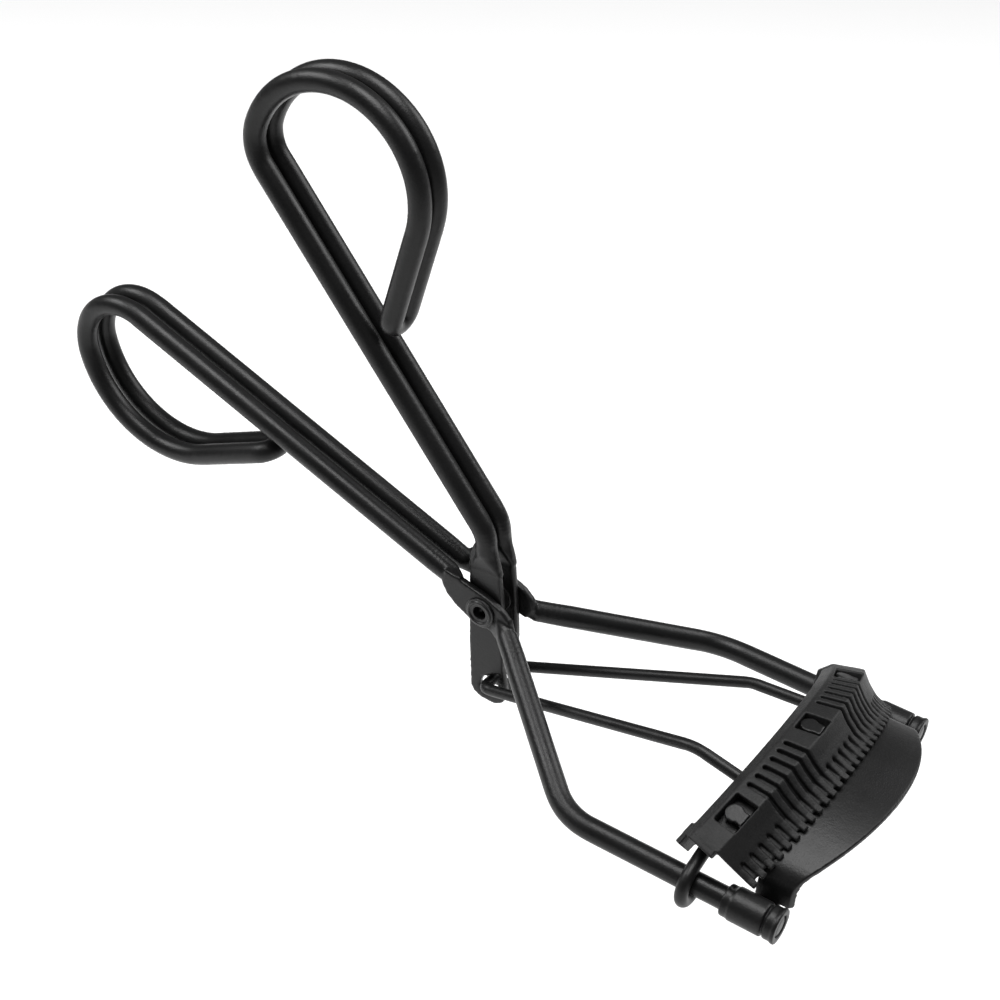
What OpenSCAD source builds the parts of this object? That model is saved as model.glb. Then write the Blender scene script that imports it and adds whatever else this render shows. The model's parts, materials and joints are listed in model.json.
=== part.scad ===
// Eyelash curler with a clip-on lash comb.
// Origin: centre of the pivot. +X: along the straight guides, toward the jaws.
// +Y: along the pivot axis. +Z: toward the arched, combed side. Millimetres.

/* [Wire] */
// Diameter of the coated handle and frame wire
wire_d = 2.5; // [2:0.1:3.2]
// Diameter of the thin pull wire
link_d = 1.4; // [1:0.1:1.8]
// Half spacing of the two frame handle strands
frame_half = 1.6; // [1.5:0.05:2.2]
// Half spacing of the two lever handle strands
lever_half = 1.45; // [1.4:0.05:2]

/* [Frame handle] */
// Direction of the frame handle, from +X toward +Z
frame_angle = 160.5; // [150:0.5:175]
// Distance the frame handle passes above the pivot
frame_offset = 0.5; // [0:0.1:2]
// Radius of the wide bend of the frame finger loop
frame_loop_r = 13.05; // [10:0.1:18]
// Radius of the tight bend of the frame finger loop
frame_corner_r = 6.65; // [5:0.1:9]
// Direction of the straight return of the frame loop
frame_return = 25.3; // [10:0.1:40]

/* [Lever handle] */
// Direction of the lever handle, from +X toward +Z
lever_angle = 132.3; // [120:0.5:145]
// Distance the lever handle passes in front of the pivot
lever_offset = 6.13; // [4:0.1:8]
// Radius of the wide bend of the lever finger loop
lever_loop_r = 11.2; // [8:0.1:14]
// Radius of the tight bend of the lever finger loop
lever_corner_r = 5; // [4:0.1:7]
// Direction of the straight return of the lever loop
lever_return = 256.6; // [240:1:270]

/* [Pivot] */
// Thickness of each coined leaf
leaf_t = 0.9; // [0.6:0.1:1.2]
// Outer radius of the eyelet shank
eyelet_r = 1.25; // [1:0.05:1.6]
// Radius of the hole through the eyelet
eyelet_bore_r = 0.85; // [0.5:0.05:1]
// Radius of the rolled eyelet flange
flange_r = 1.9; // [1.6:0.05:2.4]

/* [Arms] */
// Distance from the pivot to the bend of the arms
bend_x = 21.7; // [18:0.1:26]
// Half spacing of the two straight guides
guide_y = 18.06; // [15:0.1:20]
// Height of the two straight guides
guide_z = -7.6; // [-10:0.1:-4]
// Front end of the guide wires
guide_end = 47.7; // [44:0.05:52]
// Radius of the bend in each arm
arm_bend_r = 8; // [5:0.5:12]

/* [Jaws] */
// Thickness of the jaw sheet metal
sheet_t = 0.65; // [0.5:0.05:0.8]
// Height of the plate at mid span
plate_top = -0.35; // [-2:0.05:0.5]
// Radius of the plate arch
plate_r = 32; // [25:0.5:40]
// Half width of the plate between its side walls
plate_half = 15.2; // [14:0.1:16]
// Radius of the jaw arch that the comb, bar and pad follow
arch_r = 28; // [24:0.5:34]
// Backward lean of that arch
arch_tilt = 26; // [0:1:35]
// Half angle covered by the comb
comb_half = 38.3; // [34:0.1:40]
// Angle between neighbouring comb slots
slot_pitch = 2.78; // [2.4:0.01:3]
// Width of one comb slot
slot_w = 0.6; // [0.3:0.05:0.8]

/* [Hidden] */
$fn = 48;
wire_r = wire_d / 2;
link_r = link_d / 2;
lever_in = 1.0;
lever_leaf_y = lever_in + leaf_t / 2;
frame_in = lever_in + leaf_t + 0.1;
frame_leaf_y = frame_in + leaf_t / 2;
frame_loop_c = [-48.3, 14.55];
frame_end_x = -33.6;
lever_loop_c = [-23.3, 46.8];
lever_end_z = 32.9;
leaf_lean = -85;
lever_knee = [-0.88, 10.08];
pin_near = [1.3, -10.9];
pin_far = [1.0, -11.5];
near_window = -29.3;
far_window = 28;
arm_start = [3.9, 3.05, -1.65];
guide_at = [guide_y, guide_z];
barrel_in = wire_r + 0.02;
barrel_out = barrel_in + sheet_t;
comb_ref = [40.4, 3.3];
arch_c = comb_ref - arch_r * [sin(arch_tilt), cos(arch_tilt)];

// Each bend is a hair thinner than the wire it joins and runs a hair into it,
// so that the joined surfaces cross cleanly.
hair = 0.02;
// Step from a wire to the smaller round end of its coined stretch
coin_step = 0.08;
// Angle a bend of radius b may run on into a straight wire and stay inside it
function run_on(b) = 0.8 * sqrt(hair / b) * 180 / PI;

// ---- vector helpers ----
function dir(a) = [cos(a), sin(a)];
function side(a) = [sin(a), -cos(a)];
function unit(v) = v / norm(v);
// Centre of the tight bend that touches the straight handle and, from inside, the wide bend
function corner_centre(a, off, c2, r2, r1) =
    let (
        gap = side(a) * c2 - off,
        drop = r1 - abs(gap)
    )
    c2 + side(a) * sign(gap) * drop + dir(a) * sqrt(pow(r2 - r1, 2) - drop * drop);

// Rod between two points
module rod(a, b, r) {
    v = b - a;
    translate(a)
        rotate([0, acos(v[2] / norm(v)), atan2(v[1], v[0])])
            cylinder(r = r, h = norm(v));
}

// Elbow of a bent wire at corner p, from direction d1 into direction d2
module elbow(p, d1, d2, bend, r) {
    turn = acos(d1 * d2);
    n = unit(d2 - (d1 * d2) * d1);
    w = cross(d1, n);
    c = p - d1 * bend * tan(turn / 2) + n * bend;
    multmatrix([
        [-n[0], d1[0], w[0], c[0]],
        [-n[1], d1[1], w[1], c[1]],
        [-n[2], d1[2], w[2], c[2]],
        [0, 0, 0, 1]
    ])
        rotate_extrude(start = -run_on(bend), angle = turn + 2 * run_on(bend))
            translate([bend, 0])
                circle(r = r - hair);
}

// Coined end of a wire: from its round section at p to a flat one a reach further on
module coined_end(p, lean, y, leaf_y, half_width, reach) {
    hull() {
        translate([p[0], y, p[1]])
            rotate([0, 90 - lean, 0])
                cylinder(r = wire_r - coin_step, h = 0.1, $fn = 32);
        translate([p[0] + reach * cos(lean), leaf_y, p[1] + reach * sin(lean)])
            rotate([0, -lean, 0])
                cube([0.1, leaf_t - 0.04, 2 * half_width], center = true);
    }
}

// Wire through a list of points with a rounded elbow of radius bend[i] at point i
module bent_wire(p, bend, r) {
    n = len(p);
    d = [for (i = [0 : n - 2]) unit(p[i + 1] - p[i])];
    cut = [for (i = [0 : n - 1])
        (i == 0 || i == n - 1) ? 0 : bend[i] * tan(acos(d[i - 1] * d[i]) / 2)];
    for (i = [0 : n - 2])
        rod(p[i] + d[i] * cut[i], p[i + 1] - d[i] * cut[i + 1], r);
    for (i = [1 : n - 2])
        elbow(p[i], d[i - 1], d[i], bend[i], r);
}

// Bend lying in a plane of constant y; angles run from +X toward +Z
module flat_bend(c, radius, from, to, y, r) {
    translate([c[0], y, c[1]])
        rotate([90, 0, 0])
            rotate_extrude(start = from - run_on(radius), angle = to - from + 2 * run_on(radius))
                translate([radius, 0])
                    circle(r = r);
}

module flat_rod(a, b, y, r) {
    rod([a[0], y, a[1]], [b[0], y, b[1]], r);
}

// Half turn that joins the near and far strands at the end of a finger loop
module strand_turn(p, a, half, r) {
    multmatrix([
        [0, cos(a), -sin(a), p[0]],
        [-1, 0, 0, 0],
        [0, sin(a), cos(a), p[1]],
        [0, 0, 0, 1]
    ])
        rotate_extrude(start = -run_on(half), angle = 180 + 2 * run_on(half))
            translate([half, 0])
                circle(r = r - hair);
}

// Flat piece in a plane of constant y, drawn in x and z
module leaf(y0, y1) {
    translate([0, y1, 0])
        rotate([90, 0, 0])
            linear_extrude(height = y1 - y0)
                children();
}

// Piece with its section in y and z, running along x
module along_x(x0, x1) {
    translate([x0, 0, 0])
        rotate([90, 0, 90])
            linear_extrude(height = x1 - x0)
                children();
}

// Sweep of a section, drawn in x and z at mid span, along the jaw arch
module arch_sweep(from, to) {
    translate([arch_c[0], 0, arch_c[1]])
        rotate([0, arch_tilt, 0])
            rotate([0, -90, 0])
                rotate([180, 0, 0])
                    rotate_extrude(start = from, angle = to - from)
                        rotate(90 - arch_tilt)
                            mirror([0, 1])
                                translate(-arch_c)
                                    children();
}

// Turns a child drawn at mid span to another place on the jaw arch
module arch_place(a) {
    translate([arch_c[0], 0, arch_c[1]])
        rotate([0, arch_tilt, 0])
            rotate([-a, 0, 0])
                rotate([0, -arch_tilt, 0])
                    translate([-arch_c[0], 0, -arch_c[1]])
                        children();
}

// ---- frame wire: loop, handle, pivot leaves, arms and guides in one wire ----
module frame_strand(s) {
    y = s * frame_half;
    c1 = corner_centre(frame_angle, frame_offset, frame_loop_c, frame_loop_r, frame_corner_r);
    meet = 360 + atan2(c1[1] - frame_loop_c[1], c1[0] - frame_loop_c[0]);
    back = frame_loop_c + frame_loop_r * dir(frame_return - 90);
    tip = back + dir(frame_return) * (frame_end_x - back[0]) / cos(frame_return);
    leaf_end = frame_offset * side(frame_angle) + 5.6 * dir(frame_angle);
    flat_rod(leaf_end, c1 + frame_corner_r * side(frame_angle), y, wire_r);
    flat_bend(c1, frame_corner_r, frame_angle - 90, meet, y, wire_r - 2 * hair);
    flat_bend(frame_loop_c, frame_loop_r, meet, frame_return + 270, y, wire_r - hair);
    flat_rod(back, tip, y, wire_r);
    coined_end(leaf_end + 0.05 * dir(frame_angle), frame_angle + 180, y, s * frame_leaf_y, 1.6, 1.5);
    if (s > 0)
        strand_turn(tip, frame_return, frame_half, wire_r);
}

module frame_leaf_outline() {
    circle(r = 2.25);
    polygon([
        [-5.3, 3.6], [-5.6, 1.6], [-4.85, 0.4], [-3.4, -0.75], [-1.5, -1.7],
        [1.0, -2.05], [3.2, -2.45], [4.3, -0.9], [3.9, 0.3], [2.7, 1.35],
        [0.6, 2.2], [-2.2, 2.9]
    ]);
}

module frame_leaf(s) {
    mirror([0, s < 0 ? 1 : 0, 0])
        leaf(frame_in, frame_in + leaf_t)
            difference() {
                frame_leaf_outline();
                circle(r = eyelet_r + 0.02);
            }
}

// Coined start of an arm, out of the frame leaf
module arm_root(s) {
    along = unit([bend_x, guide_y, guide_z] - arm_start);
    from = arm_start + 0.05 * along;
    to = arm_start + 0.15 * along;
    hull() {
        rod([from[0], s * from[1], from[2]], [to[0], s * to[1], to[2]], wire_r - coin_step, $fn = 32);
        translate([1.9, s * frame_leaf_y, -0.9])
            rotate([0, 18, 0])
                cube([0.1, leaf_t - 0.04, 2.4], center = true);
    }
}

module frame_wire() {
    color("#1c1c1d")
        for (s = [-1, 1]) {
            frame_strand(s);
            frame_leaf(s);
            bent_wire([
                [arm_start[0], s * arm_start[1], arm_start[2]],
                [bend_x, s * guide_y, guide_z],
                [guide_end, s * guide_y, guide_z]
            ], [0, arm_bend_r, 0], wire_r);
            arm_root(s);
        }
}

// ---- lever wire: loop, handle and pivot leaves with the slotted tail ----
module lever_strand(s) {
    y = s * lever_half;
    c1 = corner_centre(lever_angle, lever_offset, lever_loop_c, lever_loop_r, lever_corner_r);
    meet = atan2(c1[1] - lever_loop_c[1], c1[0] - lever_loop_c[0]);
    back = lever_loop_c + lever_loop_r * dir(lever_return + 90);
    tip = back + dir(lever_return) * (lever_end_z - back[1]) / sin(lever_return);
    top = c1 - lever_corner_r * side(lever_angle);
    foot = lever_knee + 2.6 * dir(leaf_lean);
    bent_wire([
        [top[0], y, top[1]],
        [lever_knee[0], y, lever_knee[1]],
        [foot[0], y, foot[1]]
    ], [0, 5, 0], wire_r);
    flat_bend(c1, lever_corner_r, meet, lever_angle + 90, y, wire_r - 2 * hair);
    flat_bend(lever_loop_c, lever_loop_r, lever_return - 270, meet, y, wire_r - hair);
    flat_rod(back, tip, y, wire_r);
    coined_end(foot - 0.05 * dir(leaf_lean), leaf_lean, y, s * lever_leaf_y, 2.05, 2.6);
    if (s > 0)
        strand_turn(tip, lever_return, lever_half, wire_r);
}

module lever_leaf_outline() {
    polygon([
        [-1.5, 9.7], [-2.3, 8.1], [-2.7, 6.6], [-1.85, -5.9], [-1.15, -12.4],
        [-0.7, -13.1], [0.3, -13.65], [2.3, -13.7], [3.3, -13.1], [3.75, -12.1],
        [3.6, -10.5], [3.0, -8.2], [2.75, -4], [2.3, 0], [1.3, 6], [0.6, 8.1],
        [-0.4, 9.7]
    ]);
    circle(r = 2.3);
}

module link_slot() {
    translate(pin_far + [0.05, -0.3])
        circle(r = 0.95);
    polygon([
        pin_far + [-0.7, 1.1], pin_far + [1.7, 2.75], pin_far + [1.8, 1.2],
        pin_far + [1.15, -0.2], pin_far + [0.9, -0.7], pin_far + [-0.8, -0.6],
        pin_far + [-1.0, -0.1]
    ]);
}

module lever_leaf(s) {
    mirror([0, s < 0 ? 1 : 0, 0])
        leaf(lever_in, lever_in + leaf_t)
            difference() {
                lever_leaf_outline();
                circle(r = eyelet_r + 0.06);
                link_slot();
            }
}

module lever_wire() {
    color("#1c1c1d")
        for (s = [-1, 1]) {
            lever_strand(s);
            lever_leaf(s);
        }
}

// ---- hollow eyelets that pin the leaves ----
module eyelet(s) {
    out = frame_in + leaf_t;
    color("#242425")
        mirror([0, s < 0 ? 1 : 0, 0])
            rotate([-90, 0, 0])
                difference() {
                    union() {
                        translate([0, 0, lever_in - 0.4])
                            cylinder(r = eyelet_r, h = out - lever_in + 0.6);
                        translate([0, 0, lever_in - 0.4])
                            cylinder(r = flange_r - 0.1, h = 0.35);
                        translate([0, 0, out])
                            cylinder(r = flange_r, h = 0.3);
                        translate([0, 0, out + 0.3])
                            rotate_extrude()
                                translate([1.45, 0])
                                    circle(r = 0.2);
                    }
                    translate([0, 0, -1])
                        cylinder(r = eyelet_bore_r, h = out + 3);
                }
}

module near_eyelet() {
    eyelet(-1);
}

module far_eyelet() {
    eyelet(1);
}

// ---- thin pull wire from the lever tail to the back of the jaw bar ----
module link_wire() {
    color("#1e1e1f")
        bent_wire([
            [38.2, -8.08, -0.97], [31, -7.72, 0.2],
            [pin_near[0] + 1.2, -3.1, pin_near[1] + 0.3], [pin_near[0], -2.9, pin_near[1]],
            [pin_far[0], 2.9, pin_far[1]], [pin_far[0] + 1.2, 3.1, pin_far[1] + 0.3],
            [30.2, 7.72, -1.9], [38.2, 8.08, -1.45]
        ], [0, 5, 1.2, 0.75, 0.75, 1.2, 5, 0], link_r);
}

// ---- moving jaw bar: arched channel with a hook on each guide ----
bar_half = 34;
hook_wire_r = 0.75;

// Round hook that wraps over a guide and runs back into the end of the bar
module bar_hook(s) {
    ring_r = wire_r + 0.25 + hook_wire_r;
    foot = [-5.2, 3.55];
    touch = atan2(foot[1], foot[0]) - acos(ring_r / norm(foot));
    mirror([0, s < 0 ? 1 : 0, 0])
        translate([37.35, guide_y, guide_z]) {
            rotate([90, 0, 90])
                rotate_extrude(start = -112, angle = touch + 112 + run_on(ring_r))
                    translate([ring_r, 0])
                        circle(r = hook_wire_r - hair);
            rod([0, ring_r * cos(touch), ring_r * sin(touch)], [0, foot[0], foot[1]], hook_wire_r);
        }
}

module bar_tab(a) {
    arch_place(a) {
        translate([40.1, -0.9, 1.2])
            cube([0.6, 1.8, 1.6]);
        translate([40.5, 0, 2.5])
            linear_extrude(height = 0.6) {
                circle(r = 1.05);
                translate([0, -0.8])
                    square([1.5, 1.6]);
            }
    }
}

module jaw_bar() {
    color("#1a1a1b") {
        difference() {
            arch_sweep(-bar_half, bar_half)
                translate([38.45, -2.7])
                    square([3.15, 4.35]);
            arch_sweep(-bar_half - 1, bar_half + 1)
                translate([38.45 + sheet_t, -2.7 + sheet_t])
                    square([4, 4.35 - 2 * sheet_t]);
        }
        for (s = [-1, 1])
            bar_hook(s);
        for (a = [near_window, 0, far_window])
            bar_tab(a);
    }
}

module silicone_pad() {
    color("#0f0f10")
        arch_sweep(-bar_half + 0.4, bar_half - 0.4) {
            translate([38.45 + sheet_t + 0.03, -2.7 + sheet_t + 0.03])
                square([3.1, 4.29 - 2 * sheet_t]);
            translate([42.02, -0.525])
                scale([0.25, 1])
                    circle(r = 1.2);
        }
}

// ---- clip-on comb: arched cover with windows, grooves and a slotted front edge ----
module comb_section() {
    polygon([
        [37.7, 1.5], [37.7, 2.1], [38.9, 3.1], [42.3, 3.6], [43.3, 2.3], [44.4, 1.25],
        [45.6, 0.6], [46.5, 0.4], [46.5, -0.1], [45.3, 0], [43.9, 0.45],
        [42.7, 1.5], [41.9, 2.4], [39.0, 2.0], [38.4, 1.8], [38.4, 1.5]
    ]);
}

// Skin left under the grooves
module comb_skin() {
    polygon([
        [38.2, 1.8], [38.2, 2.1], [39.0, 2.35], [42.05, 2.75], [42.95, 1.8],
        [44.1, 0.7], [45.9, 0.25], [45.85, -0.12], [45.3, -0.05], [43.86, 0.4],
        [42.66, 1.45], [41.87, 2.34], [39.0, 1.95], [38.45, 1.75]
    ]);
}

module comb_slot(k) {
    start = (abs(k) > 2 && abs(k) < 9) ? 39.7 : 44.3;
    arch_place(k * slot_pitch)
        translate([start, 0, -2]) {
            translate([0, -slot_w / 2, 0])
                cube([9, slot_w, 7]);
            cylinder(r = slot_w / 2 - 0.01, h = 7, $fn = 24);
        }
}

module comb_window(a, w) {
    arch_place(a)
        translate([39.25, -w / 2, 1])
            cube([3.0, w, 4]);
}

// Rear corner of the comb at one end of the arch, s = 1 for the -Y end
module comb_end(s) {
    arch_sweep(s * comb_half - 1.6, s * comb_half + 1.6)
        polygon([
            [37.3, -1.3], [37.3, 1.9], [38.7, 3.05], [42.0, 3.5],
            [42.0, 2.6], [39.0, 2.1], [38.2, 1.5], [38.1, -1.3]
        ]);
}

// Lip that runs on past the -Y end of the comb, behind the bar
module comb_lip() {
    arch_sweep(comb_half + 1, comb_half + 4.2)
        polygon([
            [37.35, -1.2], [37.35, 1.9], [38.05, 2.45], [38.15, 1.5], [38.05, -1.2]
        ]);
}

module lash_comb() {
    color("#161617")
        difference() {
            union() {
                difference() {
                    arch_sweep(-comb_half, comb_half)
                        comb_section();
                    for (k = [-13 : 13])
                        comb_slot(k);
                }
                arch_sweep(0.3 - comb_half, comb_half - 0.3)
                    comb_skin();
                for (s = [-1, 1])
                    comb_end(s);
                comb_lip();
            }
            comb_window(0, 3.0);
            comb_window(near_window, 3.8);
            comb_window(far_window, 3.8);
        }
}

// ---- fixed jaw plate: arched sheet rolled into a barrel round each guide ----
plate_corner_r = 3;
plate_corner_y = plate_half - plate_corner_r;
plate_corner_z = plate_top - plate_r + sqrt(pow(plate_r - plate_corner_r, 2) - pow(plate_corner_y, 2));
foot_z = guide_z - barrel_in + 1;

// Angle from +Y at which the top arch passes into the corner
arch_end = acos(plate_corner_y / (plate_r - plate_corner_r));

// Part of a tube with its axis along X, drawn from x0 to x1; angles run from +Y toward +Z
module bent_sheet(c, outer, thick, from, to, x0, x1) {
    translate([x0, c[0], c[1]])
        rotate([90, 0, 90])
            rotate_extrude(start = from, angle = to - from)
                translate([outer - thick, 0])
                    square([thick, x1 - x0]);
}

module plate_sheet() {
    bent_sheet([0, plate_top - plate_r], plate_r, sheet_t, arch_end, 180 - arch_end, 42, 53);
    for (s = [0, 1])
        mirror([0, s, 0]) {
            bent_sheet([plate_corner_y, plate_corner_z], plate_corner_r - hair,
                sheet_t - 2 * hair, -2, arch_end + 0.6, 42, 53);
            translate([42, plate_half - sheet_t, foot_z])
                cube([11, sheet_t, plate_corner_z - foot_z]);
        }
}

module plate_foot() {
    bent_sheet([plate_half + 1, foot_z], 1 + sheet_t - hair, sheet_t - 2 * hair, 178, 272, 43.4, 46.2);
    translate([43.4, plate_half + 1, guide_z - barrel_out])
        cube([2.8, guide_y - plate_half - 1, sheet_t]);
}

module barrel(s) {
    translate([0, s * guide_y, guide_z])
        rotate([0, 90, 0])
            difference() {
                union() {
                    translate([0, 0, 41.45])
                        cylinder(r = barrel_in + 0.3, h = 6.3);
                    translate([0, 0, 41.45])
                        cylinder(r = barrel_out - 0.12, h = 0.85);
                    translate([0, 0, 42.4])
                        cylinder(r = barrel_out, h = 3.8);
                    translate([0, 0, 46.5])
                        cylinder(r = barrel_out - 0.05, h = 1.3);
                    translate([0, 0, 47.45])
                        cylinder(r = barrel_out + 0.08, h = 0.4);
                }
                translate([0, 0, 41])
                    cylinder(r = barrel_in, h = 8);
            }
}

module jaw_plate() {
    color("#1d1d1e") {
        difference() {
            intersection() {
                plate_sheet();
                translate([26.3, 0, -13])
                    cylinder(r = 25.9, h = 15);
            }
            translate([-14.7, 0, -14])
                cylinder(r = 60, h = 17);
        }
        for (s = [0, 1])
            mirror([0, s, 0])
                plate_foot();
        for (s = [-1, 1])
            barrel(s);
    }
}

frame_wire();
lever_wire();
near_eyelet();
far_eyelet();
link_wire();
jaw_bar();
silicone_pad();
lash_comb();
jaw_plate();
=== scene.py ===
"""Looks of the eyelash curler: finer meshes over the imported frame, materials, light and camera."""

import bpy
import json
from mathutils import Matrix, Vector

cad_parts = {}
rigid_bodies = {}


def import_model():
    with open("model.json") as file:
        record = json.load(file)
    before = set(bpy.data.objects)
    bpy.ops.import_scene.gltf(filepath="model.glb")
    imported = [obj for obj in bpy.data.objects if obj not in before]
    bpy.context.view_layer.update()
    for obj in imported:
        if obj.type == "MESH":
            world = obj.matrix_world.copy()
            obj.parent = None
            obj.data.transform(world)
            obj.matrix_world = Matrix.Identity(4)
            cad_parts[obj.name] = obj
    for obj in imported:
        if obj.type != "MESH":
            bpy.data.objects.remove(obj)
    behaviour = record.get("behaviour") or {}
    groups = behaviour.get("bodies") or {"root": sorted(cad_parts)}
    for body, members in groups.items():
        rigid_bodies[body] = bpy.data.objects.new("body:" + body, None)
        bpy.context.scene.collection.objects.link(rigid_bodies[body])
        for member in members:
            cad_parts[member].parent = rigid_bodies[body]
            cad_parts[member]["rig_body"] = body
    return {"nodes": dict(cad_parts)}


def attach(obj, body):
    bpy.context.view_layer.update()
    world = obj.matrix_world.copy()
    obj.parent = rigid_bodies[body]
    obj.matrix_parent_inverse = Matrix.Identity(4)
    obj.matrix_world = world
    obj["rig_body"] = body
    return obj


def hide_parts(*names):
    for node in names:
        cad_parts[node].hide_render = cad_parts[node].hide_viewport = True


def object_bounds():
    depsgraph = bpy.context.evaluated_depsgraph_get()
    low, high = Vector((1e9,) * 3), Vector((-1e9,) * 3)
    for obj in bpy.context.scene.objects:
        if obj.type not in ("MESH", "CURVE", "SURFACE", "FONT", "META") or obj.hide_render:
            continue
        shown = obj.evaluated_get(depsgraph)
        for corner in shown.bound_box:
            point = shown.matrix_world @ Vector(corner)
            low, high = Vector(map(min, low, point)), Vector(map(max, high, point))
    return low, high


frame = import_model()
cad_low, cad_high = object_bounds()

import json
import math

import bpy
import numpy as np
from mathutils import Euler, Matrix, Vector

MM = 0.001

# Camera, in degrees and millimetres
AZIMUTH = 30.50
ELEVATION = 35.99
ROLL = 4.81
DISTANCE = 228.47
SIDE_STEP = 0.67
RISE = 11.62
FOCAL_PER_WIDTH = 1.95844
SENSOR_MM = 36

FLOOR_DROP = 60 * MM

# The fine meshes are built askew, so that no straight wire runs along the remesh grid
ASKEW = Euler((0.62, 0.47, 0.36)).to_matrix().to_4x4()
# Further smoothing of plain round wire, and the swell that keeps its thickness
PLAIN_ROUNDS = 45
PLAIN_SWELL = 0.09
# The weight of that smoothing falls off over this length, in this many steps
FADE = 2.0
FADE_STEPS = 4
# Where the plain wire begins, in millimetres from the pivot
HANDLE_FROM = 6.0
ARM_FROM = 5.2
LEVER_FROM = 9.0

# The crimp ring of each barrel and the dent in it, in millimetres; the lean of the dent is in
# degrees and its spread in radians
GUIDE_Y = 18.06
GUIDE_Z = -7.6
RING_X = 41.9
RING_HALF = 0.6
RING_INNER = 1.3
RING_OUTER = 2.3
DENT_DEPTH = 0.35
DENT_LEAN = 20
DENT_SPREAD = 0.35


# ---- fine meshes ----
def coords(mesh):
    """Points of a mesh as rows of x, y and z."""
    points = np.empty(len(mesh.vertices) * 3)
    mesh.vertices.foreach_get("co", points)
    return points.reshape(-1, 3)


def applied(piece):
    """The mesh of a piece with its modifiers applied."""
    graph = bpy.context.evaluated_depsgraph_get()
    mesh = bpy.data.meshes.new_from_object(piece.evaluated_get(graph))
    piece.modifiers.clear()
    piece.data = mesh
    return mesh


def rounding(piece, rounds, swell, group=""):
    """Smooths a piece, then gives back what the smoothing took off."""
    smooth = piece.modifiers.new("smooth", "SMOOTH")
    smooth.iterations = rounds
    smooth.vertex_group = group
    grow = piece.modifiers.new("grow", "DISPLACE")
    grow.mid_level = 0
    grow.strength = swell
    grow.vertex_group = group


def soften(name, voxel, rounds, swell=0.0, shape=None, plain=None):
    """A finer copy of a CAD node, its edges rounded as a coating or a mould rounds them.

    Lengths are in millimetres. plain(points) weighs the parts that are plain round wire, which
    are smoothed further. shape(points) returns the points after a change of form."""
    mesh = frame["nodes"][name].data.copy()
    mesh.transform(ASKEW @ Matrix.Scale(1 / MM, 4))
    piece = bpy.data.objects.new(name + "_fine", mesh)
    bpy.context.scene.collection.objects.link(piece)
    remesh = piece.modifiers.new("remesh", "REMESH")
    remesh.mode = "VOXEL"
    remesh.voxel_size = voxel
    mesh = applied(piece)
    mesh.transform(ASKEW.inverted())
    rounding(piece, rounds, swell)
    if plain:
        group = piece.vertex_groups.new(name="plain")
        weights = plain(coords(mesh))
        steps = np.ceil(weights * FADE_STEPS)
        for level in range(1, FADE_STEPS + 1):
            chosen = np.nonzero(steps == level)[0]
            group.add(chosen.tolist(), level / FADE_STEPS, "REPLACE")
        rounding(piece, PLAIN_ROUNDS, PLAIN_SWELL, "plain")
    mesh = applied(piece)
    if shape:
        mesh.vertices.foreach_set("co", shape(coords(mesh)).ravel())
    mesh.transform(Matrix.Scale(MM, 4))
    mesh.update()
    mesh.shade_smooth()
    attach(piece, frame["nodes"][name]["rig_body"])
    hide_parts(name)
    return piece


def frame_plain(points):
    """Round parts of the frame wire: the handle behind the pivot and the arms in front of it."""
    behind = np.clip(-points[:, 0] / FADE - HANDLE_FROM / FADE, 0, 1)
    before = np.clip(points[:, 0] / FADE - ARM_FROM / FADE, 0, 1)
    return np.maximum(behind, before)


def lever_plain(points):
    """Round part of the lever wire: all of it above the leaves."""
    return np.clip(points[:, 2] / FADE - LEVER_FROM / FADE, 0, 1)


def dent_barrels(points):
    """The crimp ring of each barrel is pinched onto its guide from above."""
    for s in (-1, 1):
        y = points[:, 1] - s * GUIDE_Y
        z = points[:, 2] - GUIDE_Z
        reach = np.hypot(y, z)
        along = np.clip(1 - np.abs(points[:, 0] - RING_X) / RING_HALF, 0, 1)
        angle = np.arctan2(z, y)
        around = np.exp(-((angle - math.radians(90 + s * DENT_LEAN)) / DENT_SPREAD) ** 2)
        push = DENT_DEPTH * along * around * (reach > RING_INNER) * (reach < RING_OUTER)
        points[:, 1] -= push * y / np.maximum(reach, 1e-6)
        points[:, 2] -= push * z / np.maximum(reach, 1e-6)
    return points


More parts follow.
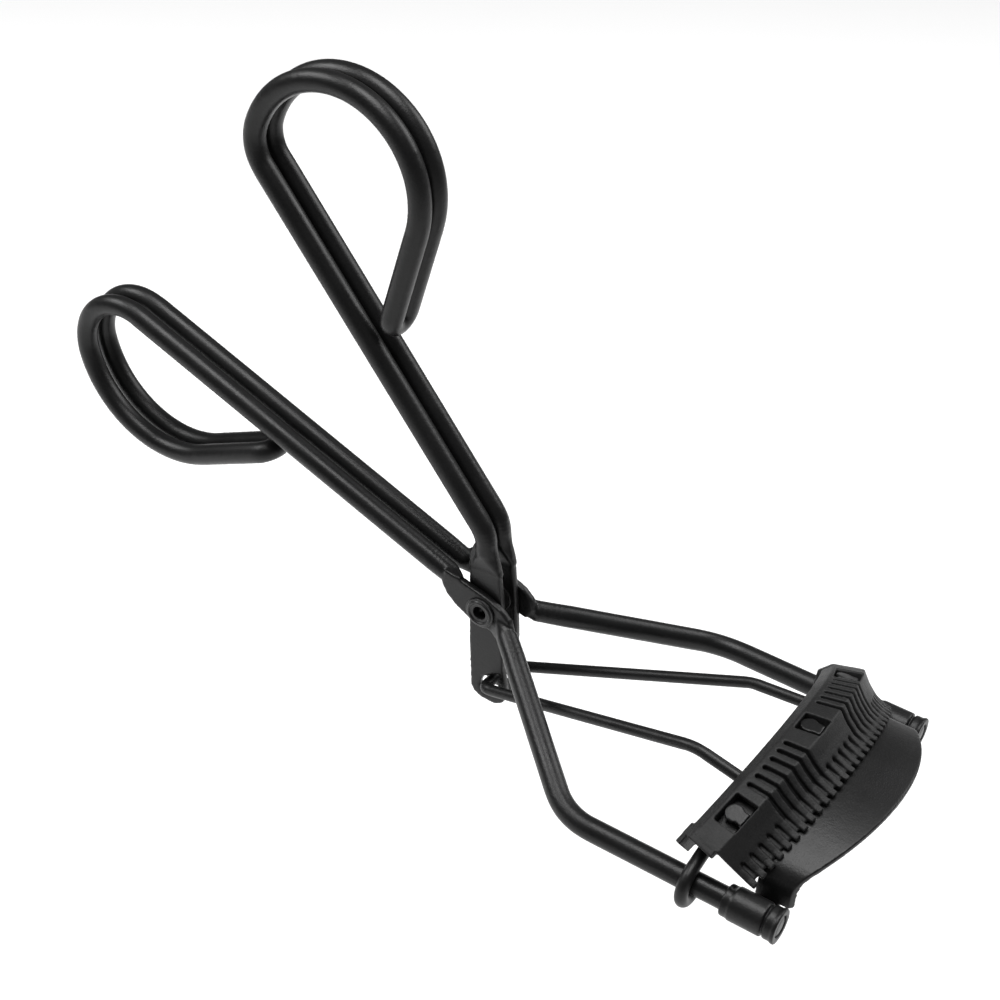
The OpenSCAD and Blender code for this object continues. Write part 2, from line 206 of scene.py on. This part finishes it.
# ---- materials ----
class Nodes:
    """Short calls for building a material."""

    def __init__(self, name):
        self.material = bpy.data.materials.new(name)
        self.material.use_nodes = True
        self.tree = self.material.node_tree
        self.shader = self.tree.nodes["Principled BSDF"]
        self.place = self.tree.nodes.new("ShaderNodeTexCoord").outputs["Object"]

    def noise(self, scale, detail=4, rough=0.55):
        node = self.tree.nodes.new("ShaderNodeTexNoise")
        node.inputs["Scale"].default_value = scale
        node.inputs["Detail"].default_value = detail
        node.inputs["Roughness"].default_value = rough
        self.tree.links.new(self.place, node.inputs["Vector"])
        return node.outputs["Fac"]

    def spread(self, value, low, high, to_low, to_high):
        node = self.tree.nodes.new("ShaderNodeMapRange")
        node.inputs["From Min"].default_value = low
        node.inputs["From Max"].default_value = high
        node.inputs["To Min"].default_value = to_low
        node.inputs["To Max"].default_value = to_high
        self.tree.links.new(value, node.inputs["Value"])
        return node.outputs["Result"]

    def blend(self, factor, first, second):
        node = self.tree.nodes.new("ShaderNodeMix")
        node.data_type = "RGBA"
        node.inputs["A"].default_value = (*first, 1)
        node.inputs["B"].default_value = (*second, 1)
        self.tree.links.new(factor, node.inputs["Factor"])
        return node.outputs["Result"]

    def bump(self, height, distance, strength, under=None):
        node = self.tree.nodes.new("ShaderNodeBump")
        node.inputs["Distance"].default_value = distance
        node.inputs["Strength"].default_value = strength
        self.tree.links.new(height, node.inputs["Height"])
        if under:
            self.tree.links.new(under, node.inputs["Normal"])
        return node.outputs["Normal"]

    def set(self, **values):
        for key, value in values.items():
            socket = self.shader.inputs[key.replace("_", " ")]
            if isinstance(value, bpy.types.NodeSocket):
                self.tree.links.new(value, socket)
            else:
                socket.default_value = value
        return self.material


def coated_metal(name, tone, rough, gloss=0.3):
    """Satin black coating: a faint orange peel, cloudy gloss and a few lighter rubbed specks."""
    m = Nodes(name)
    cloud = m.noise(160, 3)
    speck = m.noise(5200, 2)
    dark = (tone * 0.8, tone * 0.8, tone * 0.82)
    light = (tone * 1.35, tone * 1.35, tone * 1.4)
    peel = m.bump(m.noise(1700, 3), 0.00005, 0.3)
    return m.set(
        Base_Color=m.blend(m.spread(speck, 0.35, 0.75, 0, 1), dark, light),
        Roughness=m.spread(cloud, 0.3, 0.7, rough - 0.05, rough + 0.06),
        Normal=m.bump(speck, 0.00004, 0.5, peel),
        Specular_IOR_Level=gloss,
    )


def moulded_plastic(name, tone):
    """Matte moulded plastic with a spark-eroded grain."""
    m = Nodes(name)
    grain = m.noise(4200, 4, 0.6)
    cloud = m.noise(260, 3)
    dark = (tone * 0.75, tone * 0.75, tone * 0.76)
    light = (tone * 1.5, tone * 1.5, tone * 1.52)
    return m.set(
        Base_Color=m.blend(m.spread(grain, 0.3, 0.7, 0, 1), dark, light),
        Roughness=m.spread(cloud, 0.3, 0.7, 0.46, 0.58),
        Normal=m.bump(grain, 0.00008, 0.8),
        Specular_IOR_Level=0.3,
    )


def silicone(name, tone):
    """Soft black silicone with a dusty bloom."""
    m = Nodes(name)
    dust = m.noise(2300, 5)
    return m.set(
        Base_Color=m.blend(m.spread(dust, 0.4, 0.75, 0, 1), (tone,) * 3, (tone * 1.8,) * 3),
        Roughness=m.spread(dust, 0.3, 0.7, 0.55, 0.7),
        Normal=m.bump(dust, 0.00002, 0.4),
    )


def paint(piece, material):
    """Gives a piece its one material."""
    piece.data.materials.clear()
    piece.data.materials.append(material)


# ---- stage ----
def lamp(name, aim, azimuth, elevation, distance, size, power):
    """A square area light aimed at a point from a direction about the object."""
    a = math.radians(azimuth)
    e = math.radians(elevation)
    away = Vector((math.sin(a) * math.cos(e), -math.cos(a) * math.cos(e), math.sin(e)))
    light = bpy.data.lights.new(name, "AREA")
    light.shape = "RECTANGLE"
    light.size = size
    light.size_y = size
    light.energy = power
    thing = bpy.data.objects.new(name, light)
    thing.location = aim + away * distance
    thing.rotation_mode = "QUATERNION"
    thing.rotation_quaternion = away.to_track_quat("Z", "Y")
    bpy.context.scene.collection.objects.link(thing)


def floor():
    """A wide white floor well below the object."""
    half = 3
    mesh = bpy.data.meshes.new("floor")
    corners = [(-half, -half, 0), (half, -half, 0), (half, half, 0), (-half, half, 0)]
    mesh.from_pydata(corners, [], [(0, 1, 2, 3)])
    thing = bpy.data.objects.new("floor", mesh)
    thing.location.z = cad_low.z - FLOOR_DROP
    bpy.context.scene.collection.objects.link(thing)
    m = Nodes("floor_white")
    tone = m.spread(m.noise(6, 2), 0.3, 0.7, 0, 1)
    paint(thing, m.set(Base_Color=m.blend(tone, (0.93, 0.93, 0.93), (0.95, 0.95, 0.95)), Roughness=0.9))


def camera():
    """The camera of the main view."""
    a = math.radians(AZIMUTH)
    e = math.radians(ELEVATION)
    t = math.radians(ROLL)
    back = Vector((math.sin(a) * math.cos(e), -math.cos(a) * math.cos(e), math.sin(e)))
    level = Vector((math.cos(a), math.sin(a), 0))
    over = back.cross(level)
    right = level * math.cos(t) + over * math.sin(t)
    up = over * math.cos(t) - level * math.sin(t)
    data = bpy.data.cameras.new("camera")
    data.sensor_width = SENSOR_MM
    data.lens = FOCAL_PER_WIDTH * SENSOR_MM
    data.clip_start = 0.01
    data.clip_end = 20
    thing = bpy.data.objects.new("camera", data)
    turn = Matrix((right, up, back)).transposed()
    place = (back * DISTANCE + right * SIDE_STEP + up * RISE) * MM
    thing.matrix_world = Matrix.Translation(place) @ turn.to_4x4()
    bpy.context.scene.collection.objects.link(thing)
    bpy.context.scene.camera = thing


def studio():
    """White surroundings and three soft lamps."""
    world = bpy.data.worlds.new("studio")
    world.use_nodes = True
    world.node_tree.nodes["Background"].inputs["Color"].default_value = (1, 1, 1, 1)
    world.node_tree.nodes["Background"].inputs["Strength"].default_value = 0.16
    bpy.context.scene.world = world
    bpy.context.scene.view_settings.view_transform = "Standard"
    middle = (cad_low + cad_high) / 2
    lamp("top", middle, 0, 84, 0.5, 0.30, 2.75)
    lamp("left", middle, -70, 40, 0.5, 0.22, 1.5)
    lamp("back", middle, 150, 35, 0.6, 0.35, 2.1)


# ---- the object ----
WIRE = coated_metal("wire_coating", 0.004, 0.36)
THIN = coated_metal("thin_wire_coating", 0.005, 0.38)
SHEET = coated_metal("sheet_coating", 0.004, 0.4)
RIVET = coated_metal("eyelet_coating", 0.006, 0.32, 0.4)
COMB = moulded_plastic("comb_plastic", 0.007)
PAD = silicone("pad_silicone", 0.004)

paint(soften("frame_wire", 0.15, 12, 0.03, plain=frame_plain), WIRE)
paint(soften("lever_wire", 0.15, 12, 0.03, plain=lever_plain), WIRE)
paint(soften("link_wire", 0.12, 10), THIN)
paint(soften("near_eyelet", 0.06, 3), RIVET)
paint(soften("far_eyelet", 0.06, 3), RIVET)
paint(soften("jaw_bar", 0.12, 7, 0.02), SHEET)
paint(soften("silicone_pad", 0.2, 6), PAD)
paint(soften("lash_comb", 0.1, 11, 0.03), COMB)
paint(soften("jaw_plate", 0.11, 7, 0.02, dent_barrels), SHEET)

floor()
studio()
camera()
